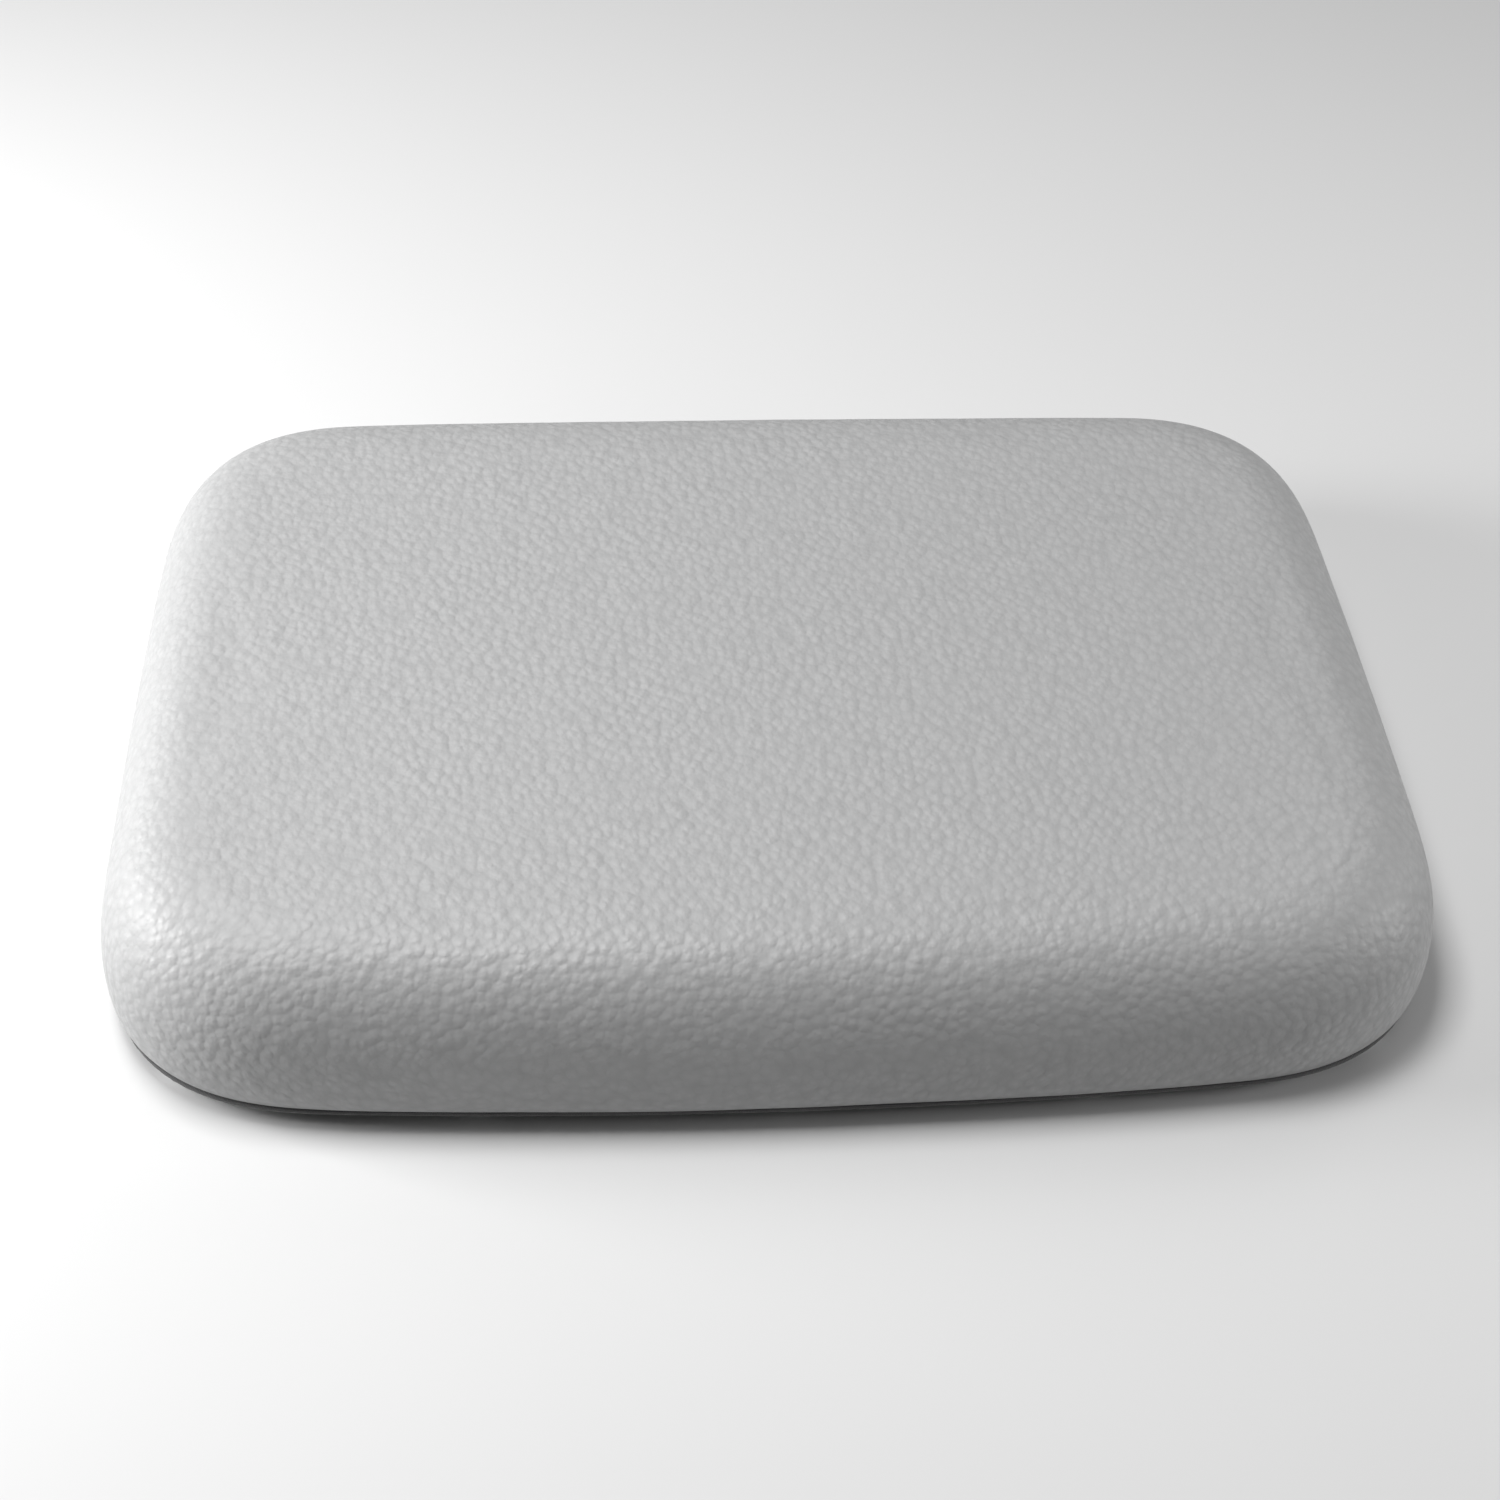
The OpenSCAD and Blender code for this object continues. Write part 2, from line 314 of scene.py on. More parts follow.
def form_mesh(profile, cap_top=True, cap_bottom=True):
    """Vertices and faces of rings stacked upwards, closed by grids. Faces point outwards."""
    rings = ring_points(profile)
    n = len(COLUMNS)
    verts = [p for r in rings for p in r]
    faces = band_faces(len(rings), n, closed=False)[:-2]
    for cap, k, up in ((cap_bottom, 0, False), (cap_top, len(rings) - 1, True)):
        if not cap:
            continue
        grid = patch_points(rings[k])
        index = {}
        for j in range(Y_CELLS + 1):
            for i in range(X_CELLS + 1):
                index[(i, j)] = rim_index(i, j, k * n)
                if index[(i, j)] is None:
                    index[(i, j)] = len(verts)
                    verts.append(grid[j][i])
        for j in range(Y_CELLS):
            for i in range(X_CELLS):
                quad = (index[(i, j)], index[(i + 1, j)], index[(i + 1, j + 1)], index[(i, j + 1)])
                faces.append(quad if up else quad[::-1])
    return verts, faces


def rim_index(i, j, start):
    """Index of a patch's rim point in the ring that starts at start, or None for an inner point."""
    nx, ny = X_CELLS, Y_CELLS
    if j == 0:
        return start + i
    if i == nx:
        return start + nx + j
    if j == ny:
        return start + nx + ny + (nx - i)
    if i == 0:
        return start + 2 * nx + ny + (ny - j)
    return None


# ---------- materials ----------

def new_material(name, color, roughness, **sockets):
    m = bpy.data.materials.new(name)
    m.use_nodes = True
    bsdf = m.node_tree.nodes["Principled BSDF"]
    bsdf.inputs["Base Color"].default_value = (*color, 1)
    bsdf.inputs["Roughness"].default_value = roughness
    for key, value in sockets.items():
        bsdf.inputs[key.replace("_", " ")].default_value = value
    return m, m.node_tree, bsdf


def add_node(tree, kind, links=None, values=None, **props):
    n = tree.nodes.new(kind)
    for key, value in props.items():
        setattr(n, key, value)
    for key, value in (values or {}).items():
        n.inputs[key].default_value = value
    for key, source in (links or {}).items():
        tree.links.new(source, n.inputs[key])
    return n


def math_node(tree, operation, a, b=None, c=None):
    n = tree.nodes.new("ShaderNodeMath")
    n.operation = operation
    for i, v in enumerate((a, b, c)):
        if v is None:
            continue
        if isinstance(v, (int, float)):
            n.inputs[i].default_value = v
        else:
            tree.links.new(v, n.inputs[i])
    return n.outputs[0]


def ramp(tree, source, low, high, to_low=0.0, to_high=1.0):
    n = add_node(tree, "ShaderNodeMapRange", {"Value": source},
                 {"From Min": low, "From Max": high, "To Min": to_low, "To Max": to_high})
    return n.outputs["Result"]


def paint(tree, bsdf, factor, low, high):
    """Base colour that goes from low to high with the factor."""
    n = add_node(tree, "ShaderNodeMix", {"Factor": factor}, {6: (*low, 1), 7: (*high, 1)}, data_type="RGBA")
    tree.links.new(n.outputs[2], bsdf.inputs["Base Color"])


def roughen(tree, bsdf, source, gain, start):
    tree.links.new(math_node(tree, "MULTIPLY_ADD", source, gain, start), bsdf.inputs["Roughness"])


def object_coordinates(tree, stretch=(1, 1, 1)):
    coord = add_node(tree, "ShaderNodeTexCoord").outputs["Object"]
    if stretch == (1, 1, 1):
        return coord
    return add_node(tree, "ShaderNodeMapping", {"Vector": coord}, {"Scale": stretch}).outputs["Vector"]


def noise_texture(tree, coord, pitch, detail=2.0, roughness=0.5):
    n = add_node(tree, "ShaderNodeTexNoise", {"Vector": coord},
                 {"Scale": 1 / pitch, "Detail": detail, "Roughness": roughness})
    return n.outputs["Fac"]


def cells_texture(tree, coord, pitch, smooth=0.5):
    n = add_node(tree, "ShaderNodeTexVoronoi", {"Vector": coord},
                 {"Scale": 1 / pitch, "Smoothness": smooth}, feature="SMOOTH_F1")
    return n.outputs["Distance"]


def wave_texture(tree, coord, pitch, axis):
    n = add_node(tree, "ShaderNodeTexWave", {"Vector": coord}, {"Scale": 1 / pitch / 3.18},
                 bands_direction=axis, wave_profile="SIN")
    return n.outputs["Fac"]


def turned(tree, coord, rotation):
    return add_node(tree, "ShaderNodeMapping", {"Vector": coord}, {"Rotation": rotation}).outputs[0]


def warped(tree, coord, pitch, amount):
    """coord pushed about by a noise of the given pitch, so that no pattern runs straight."""
    push = add_node(tree, "ShaderNodeTexNoise", {"Vector": coord}, {"Scale": 1 / pitch, "Detail": 2.0})
    centred = add_node(tree, "ShaderNodeVectorMath", {0: push.outputs["Color"]}, {1: (0.5, 0.5, 0.5)},
                       operation="SUBTRACT").outputs[0]
    scaled = add_node(tree, "ShaderNodeVectorMath", {0: centred}, {1: (amount,) * 3},
                      operation="MULTIPLY").outputs[0]
    return add_node(tree, "ShaderNodeVectorMath", {0: coord, 1: scaled}, operation="ADD").outputs[0]


def bump(tree, bsdf, height, depth, strength):
    n = add_node(tree, "ShaderNodeBump", {"Height": height}, {"Strength": strength, "Distance": depth})
    tree.links.new(n.outputs["Normal"], bsdf.inputs["Normal"])


GRAIN_PITCH = 3.4 * MM
GREY = (0.385, 0.386, 0.387)
# Grey of the valleys between the pebbles: painted shade.
VALLEY_SHADE_GREY = (0.345, 0.346, 0.347)


def leatherette():
    """Grained grey coated cloth: soft pebbles, fine creases between them, a worn sheen on the pebbles from
    lower roughness, and painted shade darkening the valleys between them.
    """
    m, tree, bsdf = new_material("leatherette", GREY, 0.48, Specular_IOR_Level=0.45)
    coord = object_coordinates(tree)
    bent = warped(tree, coord, 2.5 * MM, 0.5 * MM)
    pebbles = cells_texture(tree, bent, GRAIN_PITCH, 0.4)
    small = cells_texture(tree, bent, GRAIN_PITCH * 0.45, 0.4)
    fine = noise_texture(tree, coord, 0.5 * MM, 3.0, 0.6)
    broad = noise_texture(tree, coord, 26 * MM, 2.0)
    patches = noise_texture(tree, coord, 5 * MM, 2.0)
    tops = ramp(tree, pebbles, 0.15, 0.85, 1.0, 0.0)
    strength = ramp(tree, broad, 0.3, 0.7, 0.65, 1.0)
    height = math_node(tree, "MULTIPLY", tops, strength)
    height = math_node(tree, "MULTIPLY_ADD", small, -0.22, height)
    height = math_node(tree, "MULTIPLY_ADD", fine, 0.12, height)
    bump(tree, bsdf, height, 0.42 * MM, 0.9)
    # Painted shade: the colour darkens in the valleys between the pebbles, and also varies in random patches.
    shade = math_node(tree, "MULTIPLY", tops, 0.55)
    shade = math_node(tree, "MULTIPLY_ADD", patches, 0.45, shade)
    paint(tree, bsdf, ramp(tree, shade, 0.2, 0.75), VALLEY_SHADE_GREY, GREY)
    rough = math_node(tree, "MULTIPLY_ADD", tops, -0.10, 0.54)
    roughen(tree, bsdf, patches, 0.06, rough)
    return m


def woven(name, light, dark, pitch, depth, roughness=0.85, sheen=0.25, turn=0.0):
    """Plain or, with a turn, twill-like weave: two crossing sets of rounded threads."""
    m, tree, bsdf = new_material(name, light, roughness, Sheen_Weight=sheen, Sheen_Roughness=0.6)
    coord = object_coordinates(tree)
    if turn:
        coord = turned(tree, coord, (0, 0, turn))
    coord = warped(tree, coord, 9 * MM, 0.25 * pitch)
    warp = wave_texture(tree, coord, pitch, "X")
    weft = wave_texture(tree, coord, pitch, "Y")
    rise = wave_texture(tree, coord, pitch, "Z")
    crossed = math_node(tree, "MULTIPLY", warp, weft)
    threads = math_node(tree, "MAXIMUM", crossed, math_node(tree, "MULTIPLY", rise, 0.6))
    fuzz = noise_texture(tree, coord, 0.3 * MM, 3.0, 0.7)
    wear = noise_texture(tree, coord, 30 * MM, 3.0)
    height = math_node(tree, "MULTIPLY_ADD", fuzz, 0.35, threads)
    bump(tree, bsdf, height, depth, 0.8)
    # Painted shade: the colour darkens between the threads where the bump dips, and also varies with the
    # broad wear noise.
    shade = math_node(tree, "MULTIPLY_ADD", wear, 0.5, math_node(tree, "MULTIPLY", threads, 0.7))
    paint(tree, bsdf, ramp(tree, shade, 0.1, 0.9), dark, light)
    roughen(tree, bsdf, fuzz, 0.15, roughness - 0.08)
    return m


def fleece(name, color, shadow, pitch, depth):
    """Wadding: a soft fibrous mat."""
    m, tree, bsdf = new_material(name, color, 0.95, Sheen_Weight=0.5, Sheen_Roughness=0.5)
    coord = warped(tree, object_coordinates(tree), 8 * MM, 4 * MM)
    fibres = noise_texture(tree, coord, pitch, 8.0, 0.75)
    clumps = noise_texture(tree, coord, 18 * MM, 3.0)
    height = math_node(tree, "MULTIPLY_ADD", clumps, 1.5, fibres)
    bump(tree, bsdf, height, depth, 0.9)
    paint(tree, bsdf, ramp(tree, fibres, 0.35, 0.65), shadow, color)
    return m


def foam(name, color, pore, cell, depth):
    """Open-cell foam: small pores darkened with painted shade over a soft matt block."""
    m, tree, bsdf = new_material(name, color, 0.92, Sheen_Weight=0.2, Sheen_Roughness=0.7)
    coord = object_coordinates(tree)
    pores = cells_texture(tree, coord, cell, 0.2)
    fine = noise_texture(tree, coord, cell * 0.4, 4.0, 0.65)
    age = noise_texture(tree, coord, 45 * MM, 3.0)
    height = math_node(tree, "MULTIPLY_ADD", fine, 0.4, pores)
    bump(tree, bsdf, height, depth, 0.9)
    # Painted shade darkens the pores, the hollows of the bump; broad random patches of age darken the colour
    # a little too.
    dark = ramp(tree, pores, 0.05, 0.4)
    dark = math_node(tree, "MULTIPLY", dark, ramp(tree, age, 0.3, 0.7, 0.8, 1.0))
    paint(tree, bsdf, dark, pore, color)
    return m


def silicone():
    """Milky, slightly see-through grip rubber with fine dust in its matt skin."""
    m, tree, bsdf = new_material("silicone", (0.75, 0.76, 0.76), 0.38, IOR=1.41, Subsurface_Weight=0.2)
    bsdf.inputs["Subsurface Radius"].default_value = (3 * MM, 3 * MM, 3 * MM)
    bsdf.inputs["Subsurface Scale"].default_value = 1.0
    coord = object_coordinates(tree)
    dust = noise_texture(tree, coord, 1.2 * MM, 5.0, 0.7)
    marks = noise_texture(tree, coord, 6 * MM, 2.0)
    bump(tree, bsdf, dust, 0.03 * MM, 0.5)
    roughen(tree, bsdf, dust, 0.25, 0.25)
    paint(tree, bsdf, ramp(tree, marks, 0.3, 0.7), (0.70, 0.71, 0.71), (0.79, 0.80, 0.80))
    return m


def plastic(name, color, worn):
    """Moulded nylon: satin, with paler worn high spots."""
    m, tree, bsdf = new_material(name, color, 0.42)
    coord = object_coordinates(tree)
    spots = noise_texture(tree, coord, 1.5 * MM, 4.0, 0.6)
    fine = noise_texture(tree, coord, 0.25 * MM, 2.0)
    bump(tree, bsdf, fine, 0.02 * MM, 0.6)
    paint(tree, bsdf, ramp(tree, spots, 0.45, 0.75), color, worn)
    roughen(tree, bsdf, spots, 0.2, 0.32)
    return m


def plated_metal(name, color, scratch):
    """Plated zinc: bright, finely scratched, duller in patches."""
    m, tree, bsdf = new_material(name, color, 0.28, Metallic=1.0)
    coord = object_coordinates(tree)
    lines = noise_texture(tree, object_coordinates(tree, (1, 6, 12)), 3 * MM, 6.0, 0.8)
    haze = noise_texture(tree, coord, 2.5 * MM, 3.0)
    bump(tree, bsdf, lines, 0.015 * MM, 0.6)
    paint(tree, bsdf, ramp(tree, haze, 0.35, 0.7), color, scratch)
    roughen(tree, bsdf, haze, 0.3, 0.16)
    return m


def thread_material(name, color, dark):
    """Twisted sewing thread."""
    m, tree, bsdf = new_material(name, color, 0.7, Sheen_Weight=0.3)
    twist = turned(tree, object_coordinates(tree), (0.4, 0.5, 0.8))
    ply = wave_texture(tree, twist, 0.35 * MM, "DIAGONAL")
    bump(tree, bsdf, ply, 0.06 * MM, 0.8)
    # Painted shade: the colour darkens in the grooves between the plies, where the bump dips.
    paint(tree, bsdf, ply, dark, color)
    return m


MATERIALS = {
    "cover": leatherette(),
    "binding": woven("binding_cloth", (0.085, 0.085, 0.086), (0.035, 0.035, 0.036), 0.6 * MM, 0.12 * MM,
                     0.8, 0.2, math.radians(45)),
    "base": woven("base_cloth", (0.10, 0.10, 0.103), (0.035, 0.035, 0.037), 1.1 * MM, 0.25 * MM, 0.88, 0.15),
    "facing": woven("facing_cloth", (0.22, 0.22, 0.22), (0.12, 0.12, 0.12), 0.8 * MM, 0.15 * MM),
    "tape": woven("zip_tape_cloth", (0.16, 0.16, 0.163), (0.07, 0.07, 0.072), 0.5 * MM, 0.12 * MM, 0.82, 0.25,
                  math.radians(45)),
    "wadding": fleece("wadding_fleece", (0.80, 0.80, 0.78), (0.60, 0.60, 0.58), 1.6 * MM, 0.6 * MM),
    "comfort_foam": foam("comfort_foam_cells", (0.82, 0.78, 0.60), (0.55, 0.50, 0.34), 0.9 * MM, 0.35 * MM),
    "support_foam": foam("support_foam_cells", (0.30, 0.35, 0.42), (0.14, 0.17, 0.22), 1.4 * MM, 0.5 * MM),
    "silicone": silicone(),
    "teeth": plastic("zip_nylon", (0.10, 0.10, 0.102), (0.18, 0.18, 0.18)),
    "metal": plated_metal("zip_metal", (0.62, 0.62, 0.63), (0.45, 0.45, 0.46)),
    "thread": thread_material("grey_thread", (0.42, 0.42, 0.42), (0.24, 0.24, 0.24)),
    "dark_thread": thread_material("dark_thread", (0.13, 0.13, 0.13), (0.05, 0.05, 0.05)),
}


# ---------- cover ----------

SWELL_START = 0.6 * MM
SWELL_CAP = 0.8 * MM
CREASE_DEPTH = 0.35 * MM


def pressed_out(verts, faces, pinned):
    """The closed skin blown up by its filling with Blender's cloth: how far each vertex moves."""
    skin = make_object("swelling_skin", verts, faces)
    group = skin.vertex_groups.new(name="pinned")
    group.add(pinned, 1.0, "REPLACE")
    cloth = skin.modifiers.new("cloth", "CLOTH")
    s = cloth.settings
    s.quality = 6
    s.mass = 0.3
    s.tension_stiffness = s.compression_stiffness = 25
    s.shear_stiffness = 10
    s.bending_stiffness = 2.0
    s.use_pressure = True
    s.uniform_pressure_force = 4.0
    s.vertex_group_mass = "pinned"
    s.effector_weights.gravity = 0
    cloth.collision_settings.use_self_collision = False
    cloth.collision_settings.use_collision = False
    cloth.point_cache.frame_start = 1
    cloth.point_cache.frame_end = 20
    scene = bpy.context.scene
    for f in range(1, 21):
        scene.frame_set(f)
        bpy.context.view_layer.update()
    graph = bpy.context.evaluated_depsgraph_get()
    swollen = skin.evaluated_get(graph)
    moves = [swollen.data.vertices[i].co - skin.data.vertices[i].co for i in range(len(verts))]
    scene.frame_set(1)
    bpy.data.objects.remove(skin)
    return moves


def kept_near(moves, verts, faces):
    """The moves along the skin's outward direction, held between the filling below and the cap above."""
    skin = make_object("held_skin", verts, faces)
    normals = [v.normal.copy() for v in skin.data.vertices]
    bpy.data.objects.remove(skin)
    return [n * min(SWELL_CAP, max(0.0, m.dot(n))) for m, n in zip(moves, normals)]


def smoothed(moves, faces, rounds):
    near = [set() for _ in moves]
    for f in faces:
        for i in range(len(f)):
            near[f[i]].add(f[i - 1])
            near[f[i - 1]].add(f[i])
    for _ in range(rounds):
        sums = [m + sum((moves[j] for j in near[i]), Vector()) for i, m in enumerate(moves)]
        moves = [total / (1 + len(around)) for total, around in zip(sums, near)]
    return moves


def soft_waves(p, depth):
    """Low, slow unevenness of a soft skin: how far it stands out at p."""
    wide = noise.noise(p * 14.0)
    tight = noise.noise(p * 45.0 + Vector((3.1, 1.7, 0.4)))
    return depth * (0.7 * wide + 0.3 * tight)


def cover_piece():
    lower_z = SEAM_Z + 0.55 * CORD_R
    profile = tuck_profile(SWELL_START, lower_z, 5, BASE_Z)
    profile += roll_profile(SWELL_START, 16, TOP_Z - SWELL_START)
    verts, faces = form_mesh(profile)
    wall_and_top = [f for f in faces if not is_bottom_cap(f, verts, lower_z)]
    pinned = [i for i, v in enumerate(verts) if v.z <= lower_z + TINY]
    moves = smoothed(kept_near(pressed_out(verts, faces, pinned), verts, faces), faces, 3)
    verts = [v + m for v, m in zip(verts, moves)]
    used = sorted({i for f in wall_and_top for i in f})
    place = {old: new for new, old in enumerate(used)}
    cover = make_object("cover", [verts[i] for i in used], [tuple(place[i] for i in f) for f in wall_and_top])
    modifier(cover, "SUBSURF", levels=1, render_levels=1)
    apply_modifiers(cover)
    push_out(cover, lambda p: soft_waves(p, CREASE_DEPTH))
    modifier(cover, "SOLIDIFY", thickness=COVER_T, offset=-1, use_even_offset=True, use_rim=True)
    apply_modifiers(cover)
    cut_away(cover, zip_window_cutter())
    flat_where_sharp(cover, 50)
    finish_piece(cover, "pad", "cover_leatherette", MATERIALS["cover"], "cover_shell")
    return cover


def is_bottom_cap(face, verts, z):
    return all(verts[i].z <= z + TINY for i in face)


def slot_outline(half_l, half_h, steps=10):
    """Points round a slot with round ends, in the x-z plane, counter-clockwise seen from -Y."""
    out = []
    for sign, start in ((1, -90), (-1, 90)):
        for i in range(steps + 1):
            a = math.radians(start + 180 * i / steps)
            out.append((sign * (half_l - half_h) + half_h * math.cos(a), half_h * math.sin(a)))
    return out


def zip_window_cutter():
    outline = slot_outline(WINDOW_HALF_L, WINDOW_H / 2)
    n = len(outline)
    verts = [(x, y, ZIP_Z + z) for y in (ZIP_Y - 1 * MM, HALF_D + 10 * MM) for x, z in outline]
    faces = [tuple(range(n))[::-1], tuple(range(n, 2 * n))]
    faces += [(i, (i + 1) % n, n + (i + 1) % n, n + i) for i in range(n)]
    return fix_normals(make_object("window_cutter", verts, faces, smooth=False))


# ---------- tubes, stitches and small solids ----------

def closed_tube(name, path, radius, axis, sides=10):
    """A round tube along a closed path that lies across the axis."""
    verts = []
    for i, p in enumerate(path):
        along = (path[(i + 1) % len(path)] - path[i - 1]).normalized()
        side = along.cross(axis).normalized()
        for k in range(sides):
            a = 2 * math.pi * k / sides
            verts.append(p + side * (radius * math.cos(a)) + axis * (radius * math.sin(a)))
    return fix_normals(make_object(name, verts, band_faces(len(path), sides)))


def resample(path, pitch, closed=True):
    """Points at about the given pitch along a path, evenly spaced."""
    pts = list(path) + ([path[0]] if closed else [])
    lengths = [0.0]
    for a, b in zip(pts, pts[1:]):
        lengths.append(lengths[-1] + (b - a).length)
    count = max(2, round(lengths[-1] / pitch))
    out, k = [], 0
    for i in range(count if closed else count + 1):
        at = lengths[-1] * i / count
        while k < len(lengths) - 2 and lengths[k + 1] < at:
            k += 1
        share = (at - lengths[k]) / max(1e-9, lengths[k + 1] - lengths[k])
        out.append(pts[k].lerp(pts[k + 1], share))
    return out


def stitch_row(name, path, normals, stitch, gap, radius):
    """Separate stitches along a path: each a short thread that dives in at both ends."""
    bm = bmesh.new()
    arc_steps, sides = 6, 6
    points = resample(path, stitch + gap)
    for i, p in enumerate(points):
        q = points[(i + 1) % len(points)]
        along = (q - p).normalized()
        out = normals(p)
        side = along.cross(out).normalized()
        rings = []
        for s in range(arc_steps + 1):
            u = s / arc_steps
            lift = radius * (2.2 * math.sin(math.pi * u) - 1.0)
            center = p + along * (stitch * u) + out * lift
            ring = []
            for k in range(sides):
                a = 2 * math.pi * k / sides
                across = side * math.cos(a) + out * math.sin(a)
                ring.append(bm.verts.new(center + across * radius))
            rings.append(ring)
        join_rings(bm, rings)
    bmesh.ops.recalc_face_normals(bm, faces=bm.faces)
    return from_bmesh(name, bm)


def lathe(bm, profile, center, steps=40):
    """A closed solid turned about a vertical axis through center; profile runs from axis to axis."""
    rings = []
    for r, z in profile:
        if r < 1e-7:
            rings.append([bm.verts.new(center + Vector((0, 0, z)))])
        else:
            rings.append([bm.verts.new(center + Vector((r * math.cos(2 * math.pi * k / steps),
                                                        r * math.sin(2 * math.pi * k / steps), z)))
                          for k in range(steps)])
    for a, b in zip(rings, rings[1:]):
        for k in range(steps):
            m = (k + 1) % steps
            if len(a) == 1 and len(b) > 1:
                bm.faces.new((a[0], b[m], b[k]))
            elif len(b) == 1 and len(a) > 1:
                bm.faces.new((a[k], a[m], b[0]))
            elif len(a) > 1:
                bm.faces.new((a[k], a[m], b[m], b[k]))


def bevelled_box(name, lo, hi, bevel, segments=3, cuts=(1, 1, 1), waves=0.0):
    """A soft-edged slab between two corners, cut into cells so that it can wave a little."""
    bm = bmesh.new()
    bmesh.ops.create_cube(bm, size=1.0)
    for axis, count in enumerate(cuts):
        if count > 1:
            for k in range(1, count):
                at = Vector((0, 0, 0))
                at[axis] = k / count - 0.5
                normal = Vector((0, 0, 0))
                normal[axis] = 1
                everything = bm.verts[:] + bm.edges[:] + bm.faces[:]
                bmesh.ops.bisect_plane(bm, geom=everything, plane_co=at, plane_no=normal)
    size, middle = hi - lo, (hi + lo) / 2
    for v in bm.verts:
        v.co = Vector((v.co.x * size.x, v.co.y * size.y, v.co.z * size.z)) + middle
    sharp = [e for e in bm.edges if len(e.link_faces) == 2 and e.calc_face_angle(0) > 1.0]
    bmesh.ops.bevel(bm, geom=sharp, offset=bevel, segments=segments, profile=0.5, affect="EDGES",
                    clamp_overlap=True)
    if waves:
        for v in bm.verts:
            v.co.y += waves * noise.noise(Vector((v.co.x * 60, v.co.z * 90, 0.3)))
    bmesh.ops.recalc_face_normals(bm, faces=bm.faces)
    return flat_where_sharp(from_bmesh(name, bm), 40)


# ---------- base, bound cord and feet ----------

def seam_path(extra_inset, z):
    inset = tuck_inset(0, z, BASE_Z) + extra_inset
    return [Vector((*outline_point(c, inset), z)) for c in COLUMNS]


def binding_piece():
    path = resample(seam_path(0.3 * MM, SEAM_Z), 1.5 * MM)
    cord = closed_tube("bound_cord", path, CORD_R, Vector((0, 0, 1)), sides=14)
    push_out(cord, lambda p: 0.10 * MM * noise.noise(p * 700))
    return finish_piece(cord, "pad", "edge_binding", MATERIALS["binding"], "edge_binding")


def base_piece():
    rim = tuck_profile(0, BASE_Z, 7, BASE_Z)
    top = SEAM_Z - 0.5 * CORD_R
    profile = [p for p in rim if p[1] < top - 0.3 * MM] + [(tuck_inset(0, top, BASE_Z), top)]
    verts, faces = form_mesh(profile, cap_top=False)
    base = make_object("base_sheet_cloth", verts, faces)
    for v in base.data.vertices:
        inner = min(1.0, max(0.0, (min(HALF_W - abs(v.co.x), HALF_D - abs(v.co.y)) - TUCK_IN) / (30 * MM)))
        v.co.z += inner * 0.5 * MM * (1 + noise.noise(v.co * 22))
    modifier(base, "SUBSURF", levels=1, render_levels=1)
    modifier(base, "SOLIDIFY", thickness=BASE_T, offset=-1, use_even_offset=True)
    apply_modifiers(base)
    flat_where_sharp(base, 50)
    return finish_piece(base, "pad", "base_sheet", MATERIALS["base"], "base_sheet")


def foot_centres():
    """Middles of the feet, from the loose pieces of the CAD node."""
    bm = bmesh.new()
    bm.from_mesh(frame["nodes"]["grip_feet"].data)
    bmesh.ops.remove_doubles(bm, verts=bm.verts, dist=1e-6)
    todo, out = set(bm.verts), []
    while todo:
        stack, island = [todo.pop()], []
        while stack:
            v = stack.pop()
            island.append(v.co.copy())
            for e in v.link_edges:
                w = e.other_vert(v)
                if w in todo:
                    todo.remove(w)
                    stack.append(w)
        lowest = [c for c in island if c.z < 1e-5] or island
        out.append(sum(lowest, Vector()) / len(lowest))
    bm.free()
    return sorted(out, key=lambda c: (round(c.y, 3), round(c.x, 3)))


def foot_radius(centres):
    lo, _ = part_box("grip_feet")
    return min(c.x for c in centres) - lo.x


def feet_piece():
    centres = foot_centres()
    r = foot_radius(centres)
    rim_z = BASE_Z + 0.8 * MM
    outer = [(0, 0.35), (0.20, 0.30), (0.30, 0.42), (0.36, 0.10), (0.46, 0.0), (0.54, 0.12), (0.60, 0.42),
             (0.66, 0.10), (0.74, 0.02), (0.84, 0.10), (0.93, 0.32), (0.985, 0.62), (1.0, 1.05)]
    profile = [(share * r, z * MM) for share, z in outer]
    profile += [(r, rim_z - 0.35 * MM), (0.97 * r, rim_z - 0.08 * MM), (0.92 * r, rim_z), (0, rim_z)]
    bm = bmesh.new()
    for c in centres:
        lathe(bm, profile, Vector((c.x, c.y, 0)))
    bmesh.ops.recalc_face_normals(bm, faces=bm.faces)
    feet = flat_where_sharp(from_bmesh("grip_feet_rings", bm), 45)
    return finish_piece(feet, "pad", "grip_silicone", MATERIALS["silicone"], "grip_feet")


def base_stitches():
    """The seam's stitches, just inside the bound cord on the underside."""
    path = [Vector((*outline_point(c, TUCK_IN - 2.2 * MM), BASE_Z + 0.62 * MM)) for c in COLUMNS]

    def down(p):
        outward = Vector((p.x / HALF_W ** 2, p.y / HALF_D ** 2, 0)).normalized()
        return (outward * 0.45 - Vector((0, 0, 1))).normalized()

    row = stitch_row("base_seam_stitches", path, down, 3.0 * MM, 1.2 * MM, 0.32 * MM)
    return finish_piece(row, "pad", "edge_binding", MATERIALS["dark_thread"])


# ---------- filling ----------

def softened(obj, depth):
    return push_out(obj, lambda p: soft_waves(p * 1.7, depth))


